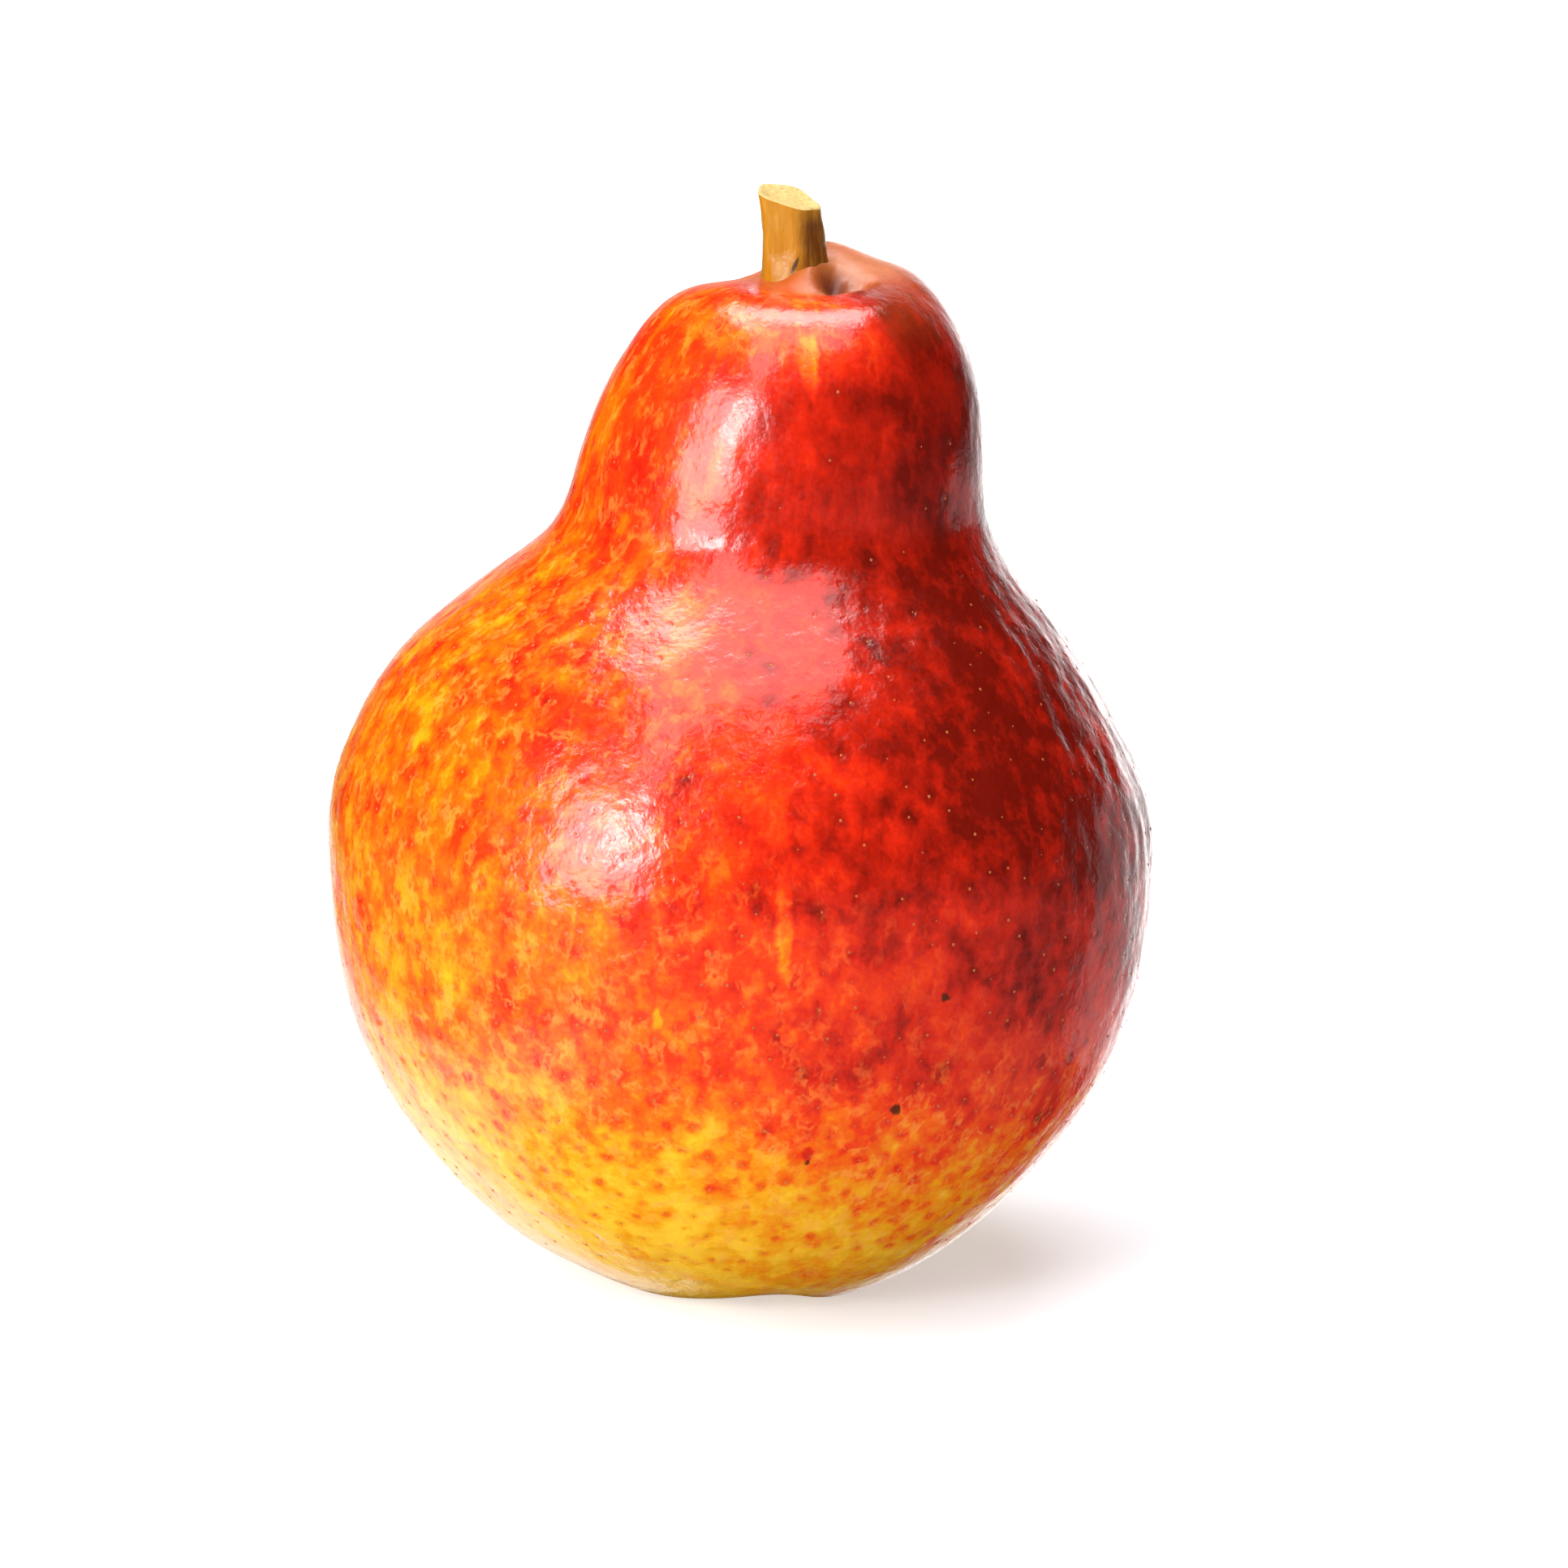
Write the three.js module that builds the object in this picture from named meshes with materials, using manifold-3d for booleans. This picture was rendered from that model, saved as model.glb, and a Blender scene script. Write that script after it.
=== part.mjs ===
// A ripe dessert pear with a red blush, standing on its blossom end: the flesh in its skin, the stub of
// its stem, cut off slantwise, and the dried calyx in the basin underneath.
// Millimetres, +Z up. +X is the side towards which the neck leans, and +Y the side of the higher shoulder.
import * as THREE from "three";
import { mergeVertices } from "three/addons/utils/BufferGeometryUtils.js";
import Module from "manifold-3d";

const wasm = await Module();
wasm.setup();

// Driving dimensions
const BELLY_RADIUS = 35;
const FIT_GAP = 0.3; // between the flesh and what is rooted in it
const UNIT = BELLY_RADIUS / 35; // everything else is stated for a pear of 70 mm across

// The outline from the blossom end to the stem end. Each station is a radius, a height and how far the
// middle of the pear has leaned towards +X there. The surface is a cubic B-spline over the stations.
const STATIONS = [
  [0, 5.9, 1.2], // floor of the blossom basin
  [3.4, 5.2, 1.2],
  [6.3, 1.6, 1.2], // wall of the basin
  [9.6, -0.9, 1.2], // the ring that the pear stands on
  [14.8, 0.8, 0.6],
  [20.8, 5.0, 0.1],
  [26.6, 10.9, 0.2],
  [31.8, 18.2, 0.1],
  [34.5, 26.2, 0],
  [35.1, 34.4, 0], // belly
  [35.1, 41.8, 0],
  [31.9, 49.0, -0.6],
  [28.3, 55.2, -0.3], // shoulder
  [22.8, 60.0, 0.8],
  [17.9, 64.6, 2.6], // waist
  [17.3, 70.4, 3.4],
  [16.1, 76.3, 4.1], // neck
  [13.8, 81.3, 4.9],
  [10.4, 85.0, 4.8], // crown
  [6.2, 86.1, 4.9],
  [2.6, 85.7, 4.8],
  [0, 85.6, 4.8], // foot of the stem
];
const STEPS_PER_STATION = 2;
const SEGMENTS = 80;

// The five lobes round the blossom end: one points straight back, and two stand at the front.
const LOBE_COUNT = 5;
const LOBE_ANGLE = Math.PI / 2;
const LOBE_RADIUS = 9.8;
const LOBE_REACH = 5.5;
const GROOVE_RISE = 0.9;
const GROOVE_SHARE = 0.012; // how far the grooves run up the belly, as a share of its radius
const GROOVE_SKEW = 0.8; // each groove lies past the middle between its two lobes
const REST_LEVEL = 0.14; // its own weight flattens each lobe a little, up to this height

// Low swellings and dents, since no pear is quite round: azimuth in degrees, height, reach, and rise.
const SWELLINGS = [
  [180, 43.5, 6, 0.35],
  [0, 41, 7, 0.25],
  [-62, 24, 12, -0.45],
  [-118, 33, 13, 0.4],
  [-20, 52, 9, -0.4],
  [70, 38, 15, 0.5],
  [128, 26, 14, -0.5],
  [-95, 68, 8, -0.3],
  [40, 72, 8, 0.3],
  [190, 6, 9, 0.5],
];

// The crown round the stem: x and y from the stem's foot, reach, and rise.
const CROWN_FORMS = [
  [2.6, 3.6, 4.8, 2.4], // the higher shoulder behind the stem
  [3.5, -1.4, 1.5, -2.3], // the deep pit beside the stem
  [5.9, -1.2, 1.0, -0.7], // the small dimple next to it
  [0, -6, 3.5, 0.5], // the rim in front of the stem
  [-7, 3, 5.0, -0.7], // the side that slopes away to the left
  [9, 2, 5.0, 0.4],
];
const CROWN_FOOT = 78; // the crown's forms fade out below this height

// The stem: it stands on the crown, flares at its foot and widens again to its cut end.
const STEM_FOOT = [4.6, 0, 85.2];
const STEM_HEIGHT = 7.4;
const STEM_ROOT = 4.5;
const STEM_LEAN = [-0.65, -0.5]; // how far the cut end has moved from over the foot
const STEM_CUT_SLOPE = [-0.28, 0.15]; // rise of the cut face along +X and +Y
const STEM_FLATNESS = 0.9; // depth of its section over its width
// Share of the height above the foot, and radius
const STEM_STATIONS = [
  [-1, 0],
  [-1, 1.9],
  [-0.5, 2.5],
  [-0.1, 3.15],
  [0.1, 3.0],
  [0.35, 2.7],
  [0.7, 2.6],
  [0.92, 2.64],
  [1, 2.66],
  [1, 1.5],
  [1, 0],
];
const STEM_SEGMENTS = 28;
const STEM_RIDGES = 5;
const STEM_RIDGE_RISE = 0.1;

// The calyx: a short dry cup in the basin with five sepals that spread from it
const CALYX_CENTRE = [1.2, 0];
const CALYX_ROOT = 7.2;
const CALYX_MOUTH = 3.9;
const CALYX_RADIUS = 1.7;
const SEPAL_COUNT = 5;
const SEPAL_LENGTH = 4.2;
const SEPAL_WIDTH = 2.3;
const SEPAL_THICKNESS = 0.7;
const SEPAL_DROP = 1.5;
const SEPAL_STEPS = 6;
const STAMEN_COUNT = 7;
const STAMEN_LENGTH = 1.7;
const STAMEN_RADIUS = 0.28;

const FLESH = { color: 0xd8431a, roughness: 0.35, metalness: 0 };
const WOOD = { color: 0xb9851f, roughness: 0.6, metalness: 0 };
const DRY_LEAF = { color: 0x4a3524, roughness: 0.85, metalness: 0 };

// A point of a uniform cubic B-spline, where a, b, c and d are the stations round it and t runs from 0 to 1.
function splinePoint(a, b, c, d, t) {
  const weights = [
    (1 - t) ** 3,
    3 * t ** 3 - 6 * t ** 2 + 4,
    -3 * t ** 3 + 3 * t ** 2 + 3 * t + 1,
    t ** 3,
  ];
  return a.map(
    (_, k) => (weights[0] * a[k] + weights[1] * b[k] + weights[2] * c[k] + weights[3] * d[k]) / 6,
  );
}

// The rings of the pear, from the basin's floor to the stem's foot, as [radius, height, lean].
function fleshRings() {
  const mirror = ([radius, height, lean]) => [-radius, height, lean];
  const all = [mirror(STATIONS[1]), ...STATIONS, mirror(STATIONS.at(-2))];
  const rings = [];
  for (let i = 1; i < all.length - 2; i++)
    for (let step = 0; step < STEPS_PER_STATION; step++)
      rings.push(splinePoint(all[i - 1], all[i], all[i + 1], all[i + 2], step / STEPS_PER_STATION));
  rings.push(splinePoint(...all.slice(-3), all.at(-1), 0));
  rings[0][0] = 0;
  rings.at(-1)[0] = 0;
  return rings;
}

const bump = (distance, reach) => Math.exp(-((distance / reach) ** 2));

const fade = (x, from, to) => THREE.MathUtils.smoothstep(x, from, to);

// Where a point of the round outline really lies on this pear.
function fleshPoint(radius, angle, height, lean) {
  const offAxis = fade(radius, 0, 5);
  const phase = LOBE_COUNT * (angle - LOBE_ANGLE);
  const groove = offAxis * (0.5 - 0.5 * Math.cos(phase - GROOVE_SKEW * (0.5 - 0.5 * Math.cos(phase))));
  let swollen = radius * (1 - GROOVE_SHARE * groove * bump(height, 26));
  for (const [degrees, level, reach, rise] of SWELLINGS) {
    const turn = angle - THREE.MathUtils.degToRad(degrees);
    const across = 2 * radius * Math.sin(turn / 2);
    swollen += offAxis * rise * bump(Math.hypot(across, height - level), reach);
  }
  const x = lean + swollen * Math.cos(angle);
  const y = swollen * Math.sin(angle);
  let z = height;
  if (height < 12) z += GROOVE_RISE * groove * bump(radius - LOBE_RADIUS, LOBE_REACH);
  for (const [east, north, reach, rise] of CROWN_FORMS) {
    const away = Math.hypot(x - STEM_FOOT[0] - east, y - STEM_FOOT[1] - north);
    z += rise * bump(away, reach) * fade(height, CROWN_FOOT, CROWN_FOOT + 6);
  }
  return [x, y, Math.max(z, REST_LEVEL)];
}

function fleshGeometry() {
  const rings = fleshRings();
  const profile = rings.map(([radius, height]) => new THREE.Vector2(radius, height));
  const lathe = new THREE.LatheGeometry(profile, SEGMENTS);
  const position = lathe.attributes.position;
  for (let i = 0; i < position.count; i++) {
    const [radius, height, lean] = rings[i % rings.length];
    const angle = -Math.PI / 2 + (2 * Math.PI * Math.floor(i / rings.length)) / SEGMENTS;
    position.setXYZ(i, ...fleshPoint(radius, angle, height, lean).map((v) => v * UNIT));
  }
  return lathe;
}

// The stem, or with a clearance the socket that it is rooted in.
function stemGeometry(clearance) {
  const profile = STEM_STATIONS.map(([share, radius]) => new THREE.Vector2(radius, share));
  const lathe = new THREE.LatheGeometry(profile, STEM_SEGMENTS);
  const position = lathe.attributes.position;
  for (let i = 0; i < position.count; i++) {
    const { x: radius, y: share } = profile[i % profile.length];
    const angle = -Math.PI / 2 + (2 * Math.PI * Math.floor(i / profile.length)) / STEM_SEGMENTS;
    const ridge = 1 + STEM_RIDGE_RISE * 0.5 * Math.cos(STEM_RIDGES * angle) * fade(share, -0.2, 0.3);
    const reach = radius > 0 ? radius * ridge + clearance : 0;
    const along = Math.max(share, 0);
    const across = reach * Math.cos(angle);
    const deep = reach * Math.sin(angle) * STEM_FLATNESS;
    const cut = STEM_HEIGHT + STEM_CUT_SLOPE[0] * across + STEM_CUT_SLOPE[1] * deep + clearance;
    position.setXYZ(
      i,
      (STEM_FOOT[0] + across + STEM_LEAN[0] * along ** 1.5) * UNIT,
      (STEM_FOOT[1] + deep + STEM_LEAN[1] * along ** 1.5) * UNIT,
      (STEM_FOOT[2] + (share < 0 ? share * (STEM_ROOT + clearance) : share * cut)) * UNIT,
    );
  }
  return lathe;
}

// The dry cup that carries the sepals, or with a clearance the hole that it sits in.
function calyxCup(clearance) {
  const radius = CALYX_RADIUS + clearance;
  const height = CALYX_ROOT - CALYX_MOUTH + clearance;
  const cup = new THREE.CylinderGeometry(radius * 0.85, radius, height, 20);
  cup.rotateX(Math.PI / 2);
  cup.translate(...CALYX_CENTRE, CALYX_MOUTH + height / 2);
  return cup.scale(UNIT, UNIT, UNIT);
}

// One sepal: a thin pointed blade that runs out from the cup and droops towards its tip.
function sepalGeometry(angle) {
  const blade = new THREE.BoxGeometry(SEPAL_LENGTH, SEPAL_WIDTH, SEPAL_THICKNESS, SEPAL_STEPS, 2, 1);
  const position = blade.attributes.position;
  for (let i = 0; i < position.count; i++) {
    const share = position.getX(i) / SEPAL_LENGTH + 0.5;
    const side = position.getY(i) * (1 - 0.85 * share ** 1.6);
    const arch = 0.5 * (side / SEPAL_WIDTH) ** 2;
    const thin = position.getZ(i) * (1 - 0.3 * share);
    position.setXYZ(
      i,
      CALYX_RADIUS * 0.5 + share * SEPAL_LENGTH,
      side,
      CALYX_MOUTH + 0.55 - SEPAL_DROP * share ** 1.4 + arch + thin,
    );
  }
  blade.rotateZ(angle);
  blade.translate(...CALYX_CENTRE, 0);
  return blade.scale(UNIT, UNIT, UNIT);
}

// One withered stamen that hangs from the mouth of the cup.
function stamenGeometry(index) {
  const angle = (2 * Math.PI * index) / STAMEN_COUNT;
  const stamen = new THREE.CylinderGeometry(STAMEN_RADIUS, STAMEN_RADIUS * 0.6, STAMEN_LENGTH, 6);
  stamen.rotateX(Math.PI / 2 + 0.3 * Math.cos(2.3 * index));
  stamen.rotateY(0.35 * Math.sin(1.7 * index));
  stamen.translate(
    CALYX_CENTRE[0] + CALYX_RADIUS * 0.55 * Math.cos(angle),
    CALYX_CENTRE[1] + CALYX_RADIUS * 0.55 * Math.sin(angle),
    CALYX_MOUTH - STAMEN_LENGTH * 0.3,
  );
  return stamen.scale(UNIT, UNIT, UNIT);
}

function solidOf(geometry) {
  const bare = geometry.clone();
  bare.deleteAttribute("normal");
  bare.deleteAttribute("uv");
  const merged = mergeVertices(bare, 1e-4);
  return new wasm.Manifold(
    new wasm.Mesh({
      numProp: 3,
      vertProperties: new Float32Array(merged.attributes.position.array),
      triVerts: new Uint32Array(merged.index.array),
    }),
  );
}

function geometryOf(solid) {
  const mesh = solid.getMesh();
  const geometry = new THREE.BufferGeometry();
  geometry.setAttribute("position", new THREE.BufferAttribute(mesh.vertProperties, 3));
  geometry.setIndex(new THREE.BufferAttribute(mesh.triVerts, 1));
  geometry.computeVertexNormals();
  return geometry;
}

function named(name, geometry, look) {
  const mesh = new THREE.Mesh(geometry, new THREE.MeshStandardMaterial(look));
  mesh.name = name;
  return mesh;
}

function flesh() {
  const whole = solidOf(fleshGeometry());
  const stemSocket = solidOf(stemGeometry(FIT_GAP));
  const calyxSocket = solidOf(calyxCup(FIT_GAP));
  return named("flesh", geometryOf(whole.subtract(stemSocket).subtract(calyxSocket)), FLESH);
}

function stem() {
  return named("stem", stemGeometry(0), WOOD);
}

function calyx() {
  let whole = solidOf(calyxCup(0));
  for (let i = 0; i < SEPAL_COUNT; i++)
    whole = whole.add(solidOf(sepalGeometry(LOBE_ANGLE + Math.PI / 5 + (2 * Math.PI * i) / SEPAL_COUNT)));
  for (let i = 0; i < STAMEN_COUNT; i++) whole = whole.add(solidOf(stamenGeometry(i)));
  return named("calyx", geometryOf(whole), DRY_LEAF);
}

const pear = new THREE.Group();
pear.add(flesh(), stem(), calyx());

// The origin is under the middle of the whole pear's box, on the surface that it stands on.
const box = new THREE.Box3().setFromObject(pear, true);
pear.position.set(-(box.min.x + box.max.x) / 2, -(box.min.y + box.max.y) / 2, -box.min.z);

export default pear;
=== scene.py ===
"""A ripe dessert pear with a red blush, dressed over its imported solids.

The pieces are the skin with its relief and pigment, the corky lenticels, the stub of the stem and the dried
calyx. The pear stands on a plain pale floor in soft light.

Metres, +Z up. The camera looks along +Y, and +X is the side towards which the neck leans.
"""

import math

import bpy
import numpy as np
from bpy.props import FloatProperty, FloatVectorProperty, IntProperty, PointerProperty
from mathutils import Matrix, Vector, noise


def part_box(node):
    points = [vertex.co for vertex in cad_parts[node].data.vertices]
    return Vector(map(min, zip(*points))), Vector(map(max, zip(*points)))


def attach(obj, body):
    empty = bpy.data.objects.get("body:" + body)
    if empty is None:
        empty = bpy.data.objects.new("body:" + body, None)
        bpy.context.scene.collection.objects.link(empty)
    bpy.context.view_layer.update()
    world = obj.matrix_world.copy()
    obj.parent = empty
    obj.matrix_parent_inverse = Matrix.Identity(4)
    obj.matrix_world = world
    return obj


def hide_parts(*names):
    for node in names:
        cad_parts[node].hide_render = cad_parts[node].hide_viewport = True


bl_info = {
    "name": "Blushed pear",
    "version": (1, 0, 0),
    "blender": (4, 5, 0),
    "location": "3D View > Sidebar > Pear",
    "description": "Dresses a packed pear with its skin, lenticels, stem and calyx",
    "category": "Object",
}

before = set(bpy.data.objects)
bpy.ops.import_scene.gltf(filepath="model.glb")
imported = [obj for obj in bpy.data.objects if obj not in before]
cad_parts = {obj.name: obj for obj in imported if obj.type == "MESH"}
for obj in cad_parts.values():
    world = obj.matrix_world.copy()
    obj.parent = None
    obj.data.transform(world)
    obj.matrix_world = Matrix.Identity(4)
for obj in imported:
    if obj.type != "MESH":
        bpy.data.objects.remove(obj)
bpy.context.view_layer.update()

BODY = "root"

# Every size below is in millimetres, for a pear of the nominal width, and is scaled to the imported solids.
NOMINAL_WIDTH = 70.35
MM = (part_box("flesh")[1].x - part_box("flesh")[0].x) / NOMINAL_WIDTH

# The outline from the blossom end to the stem end: radius, height, and how far its middle leans towards +X.
# The surface is a cubic B-spline over these stations.
STATIONS = (
    (0, 5.9, 1.2),  # floor of the blossom basin
    (3.4, 5.2, 1.2),
    (6.3, 1.6, 1.2),  # wall of the basin
    (9.6, -0.9, 1.2),  # the ring that the pear stands on
    (14.8, 0.8, 0.6),
    (20.8, 5.0, 0.1),
    (26.6, 10.9, 0.2),
    (31.8, 18.2, 0.1),
    (34.5, 26.2, 0),
    (35.1, 34.4, 0),  # belly
    (35.1, 41.8, 0),
    (31.9, 49.0, -0.6),
    (28.3, 55.2, -0.3),  # shoulder
    (22.8, 60.0, 0.8),
    (17.9, 64.6, 2.6),  # waist
    (17.3, 70.4, 3.4),
    (16.1, 76.3, 4.1),  # neck
    (13.8, 81.3, 4.9),
    (10.4, 85.0, 4.8),  # crown
    (6.2, 86.1, 4.9),
    (2.6, 85.7, 4.8),
    (0, 85.6, 4.8),  # foot of the stem
)
# Points of the outline from one station to the next, and how close two vertices lie that are welded
OUTLINE_STEPS = 24
WELD_DISTANCE = 1e-4

# The five lobes round the blossom end
LOBE_COUNT = 5
LOBE_ANGLE = math.pi / 2
LOBE_RADIUS = 9.8
LOBE_REACH = 5.5
GROOVE_SHARE = 0.012
GROOVE_HEIGHT = 26
GROOVE_SKEW = 0.8
BASE_HEIGHT = 12
REST_LEVEL = 0.14
POLE_REACH = 5

# Low swellings and dents of the body: azimuth in degrees, height, reach, and rise
SWELLINGS = (
    (180, 43.5, 6, 0.35),
    (0, 41, 7, 0.25),
    (-62, 24, 12, -0.45),
    (-118, 33, 13, 0.4),
    (-20, 52, 9, -0.4),
    (70, 38, 15, 0.5),
    (128, 26, 14, -0.5),
    (-95, 68, 8, -0.3),
    (40, 72, 8, 0.3),
    (190, 6, 9, 0.5),
)

# The waist's crease in front, and the sine of the azimuth where it starts and where it is full
WAIST_HEIGHT = 65.6
WAIST_REACH = 2.9
WAIST_DEPTH = 0.35
WAIST_SPAN = (-0.1, -0.9)

# The relief of the skin: the size of its lumps, ripples and wrinkles. Heights count less for the wrinkles,
# so they run upwards.
LUMP_SIZE = 9.0
RIPPLE_SIZE = 2.6
WRINKLE_SIZE = 1.9
WRINKLE_SQUEEZE = 0.2
# The azimuth that the wrinkles face, the cosines from it where they start and are full, the heights between
# which they lie, and their share elsewhere
WRINKLE_AZIMUTH = -15
WRINKLE_SPREAD = (0.35, 0.95)
WRINKLE_FOOT = (30, 44)
WRINKLE_TOP = (64, 58)
WRINKLE_ELSEWHERE = 0.12
# The heights between which the relief sets in, above the spots that the pear stands on
SMOOTH_BASE = (REST_LEVEL + 0.2, 5)

# How the lenticels thin out: two heights, and the shares of the full density at them, or else 0 and 1
LENTICEL_THINNING = (14, 30, 1.0, 0.5)
LENTICEL_TOP = (62, 82, 1.0, 0.0)
LENTICEL_FOOT = (3, 8)
# The least and the greatest size of a dot, as shares of its radius
LENTICEL_SIZES = (0.55, 1.25)

# The crown round the stem: x and y from the stem's foot, reach, and rise
CROWN_FORMS = (
    (2.2, 3.6, 4.6, 2.65),  # the higher shoulder behind the stem
    (10.2, 1.5, 4.0, 1.2),  # its far end on the right
    (-4.6, 4.8, 4.2, -0.95),  # the side that slopes away to the left
    (1.0, -5, 3.9, -1.0),  # the low front
    (3.3, -2.6, 1.35, -1.8),  # the deep pit beside the stem
    (5.3, -2.9, 1.0, -0.7),  # the small dimple next to it
    (4.25, -2.3, 0.7, 0.65),  # the ridge between the two
    (0.7, -2.5, 1.7, 1.5),  # the flesh that swells up against the stem's foot
    (2.1, -1.3, 1.3, 1.0),
)
CROWN_FOOT = 78
CROWN_FADE = 6
STEM_FOOT = (4.6, 0, 85.2)

# The stem
STEM_HEIGHT = 7.4
STEM_ROOT = 4.5
STEM_LEAN = (-0.65, -0.5)
STEM_CUT_SLOPE = (-0.28, 0.15)
STEM_CUT_CURVE = 0.08
STEM_FLATNESS = 0.9
STEM_STATIONS = (  # share of the height above the foot, and radius
    (-0.5, 2.5),
    (-0.1, 3.15),
    (0.1, 3.0),
    (0.35, 2.7),
    (0.7, 2.6),
    (0.92, 2.64),
    (1, 2.66),
)
STEM_RIDGES = 5
STEM_RIDGE_RISE = 0.1
# How often the bark's lumps come round the stem and along it, and the size of that pattern
STEM_LUMP_PACE = (1.3, 1.3, 2.2)
STEM_LUMP_PITCH = 1.7
# The rings of the cut end: share of the radius and rise, and the unevenness of the cut
STEM_CUT_RINGS = ((0.97, 0.06), (0.88, 0.1), (0.8, -0.05), (0.5, -0.1), (0.2, -0.12))
STEM_CUT_ROUGHNESS = 0.08
STEM_CUT_PITCH = 0.9

# The calyx
CALYX_CENTRE = (1.2, 0)
CALYX_ROOT = 7.2
CALYX_MOUTH = 3.9
CALYX_RADIUS = 1.7
SEPAL_COUNT = 5
SEPAL_LENGTH = 4.2
SEPAL_WIDTH = 2.3
SEPAL_DROP = 1.5
SEPAL_THICKNESS = 0.22
STAMEN_LENGTH = 1.7
STAMEN_RADIUS = 0.14

# The photograph's view: how far the camera is above the level, how far off, how wide the view is there, and
# the point that it looks at
CAMERA_ELEVATION = 12
CAMERA_DISTANCE = 600
VIEW_WIDTH = 133.6
VIEW_CENTRE = (3.6, 0, 42.3)
SENSOR = 36


def tone(red, green, blue, alpha=1.0):
    """A colour given as the eye sees it, from 0 to 255, as the linear values that a shader takes."""
    shares = (red / 255, green / 255, blue / 255)
    linear = (s / 12.92 if s <= 0.04045 else ((s + 0.055) / 1.055) ** 2.4 for s in shares)
    return (*linear, alpha)


class Wires:
    """Adds nodes to a tree and joins them. A value is a number, a tuple or another node's output."""

    def __init__(self, tree):
        self.tree = tree

    def feed(self, socket, value):
        if isinstance(value, bpy.types.NodeSocket):
            self.tree.links.new(value, socket)
        else:
            socket.default_value = value

    def node(self, kind, inputs=(), **settings):
        made = self.tree.nodes.new(kind)
        for key, value in settings.items():
            setattr(made, key, value)
        self.put(made, inputs)
        return made

    def put(self, made, values):
        """Feeds a node's inputs, each by its name or number."""
        for key, value in dict(values).items():
            self.feed(made.inputs[key], value)

    def math(self, operation, *values):
        return self.node("ShaderNodeMath", enumerate(values), operation=operation).outputs[0]

    def add(self, first, *others):
        for other in others:
            first = self.math("ADD", first, other)
        return first

    def times(self, first, *others):
        for other in others:
            first = self.math("MULTIPLY", first, other)
        return first

    def less(self, first, second):
        return self.math("SUBTRACT", first, second)

    def fade(self, value, low, high, start=0.0, end=1.0):
        """A smooth step: start where the value is low, end where it is high."""
        ends = {"Value": value, "From Min": low, "From Max": high, "To Min": start, "To Max": end}
        return self.node("ShaderNodeMapRange", ends, interpolation_type="SMOOTHSTEP").outputs[0]

    def bump(self, distance, reach):
        """A bell: 1 where the distance is 0, and next to nothing at twice the reach."""
        share = self.math("DIVIDE", distance, reach)
        return self.math("EXPONENT", self.times(share, share, -1.0))

    def vector(self, operation, *values):
        made = self.node("ShaderNodeVectorMath", operation=operation)
        for socket, value in zip(made.inputs, values):
            self.feed(socket, value)
        return made.outputs["Value" if operation in ("DISTANCE", "LENGTH", "DOT_PRODUCT") else "Vector"]

    def scaled(self, vector, factor):
        made = self.node("ShaderNodeVectorMath", {"Scale": factor}, operation="SCALE")
        self.feed(made.inputs[0], vector)
        return made.outputs["Vector"]

    def join(self, x, y, z):
        return self.node("ShaderNodeCombineXYZ", {"X": x, "Y": y, "Z": z}).outputs[0]

    def split(self, vector):
        return self.node("ShaderNodeSeparateXYZ", {"Vector": vector}).outputs

    def cloud(self, vector, size, detail=2.0, roughness=0.5, distortion=0.0):
        """Soft noise from 0 to 1, whose clouds are about as large as size, and its colour."""
        ends = {"Vector": vector, "Scale": 1 / size, "Detail": detail, "Roughness": roughness}
        return self.node("ShaderNodeTexNoise", {**ends, "Distortion": distortion}).outputs

    def wave(self, vector, size, height, **settings):
        """Soft noise about zero, from minus height to height."""
        return self.times(self.less(self.cloud(vector, size, **settings)[0], 0.5), 2 * height)

    def stir(self, vector, size, **settings):
        """A vector of soft noise about zero."""
        return self.vector("SUBTRACT", self.cloud(vector, size, **settings)[1], (0.5, 0.5, 0.5))

    def chance(self, vector):
        """A number from 0 to 1 that is another at each place."""
        return self.node("ShaderNodeTexWhiteNoise", {"Vector": vector}).outputs["Value"]

    def kept(self, name):
        """The vector that the mesh keeps under a name."""
        return self.node("ShaderNodeAttribute", attribute_name=name).outputs["Vector"]

    def mix(self, factor, first, second):
        made = self.node("ShaderNodeMix", {0: factor, 6: first, 7: second}, data_type="RGBA")
        return made.outputs[2]

    def ramp(self, value, places, colours):
        made = self.node("ShaderNodeValToRGB", {0: value})
        elements = made.color_ramp.elements
        while len(elements) < len(places):
            elements.new(0.5)
        for element, place, colour in zip(elements, places, colours):
            element.position = place
            element.color = colour
        return made.outputs[0]

    def relief(self, height, depth):
        """The normal of a surface with a fine relief of that depth in millimetres."""
        ends = {"Height": height, "Strength": 1.0, "Distance": depth * MM}
        return self.node("ShaderNodeBump", ends).outputs[0]


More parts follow.
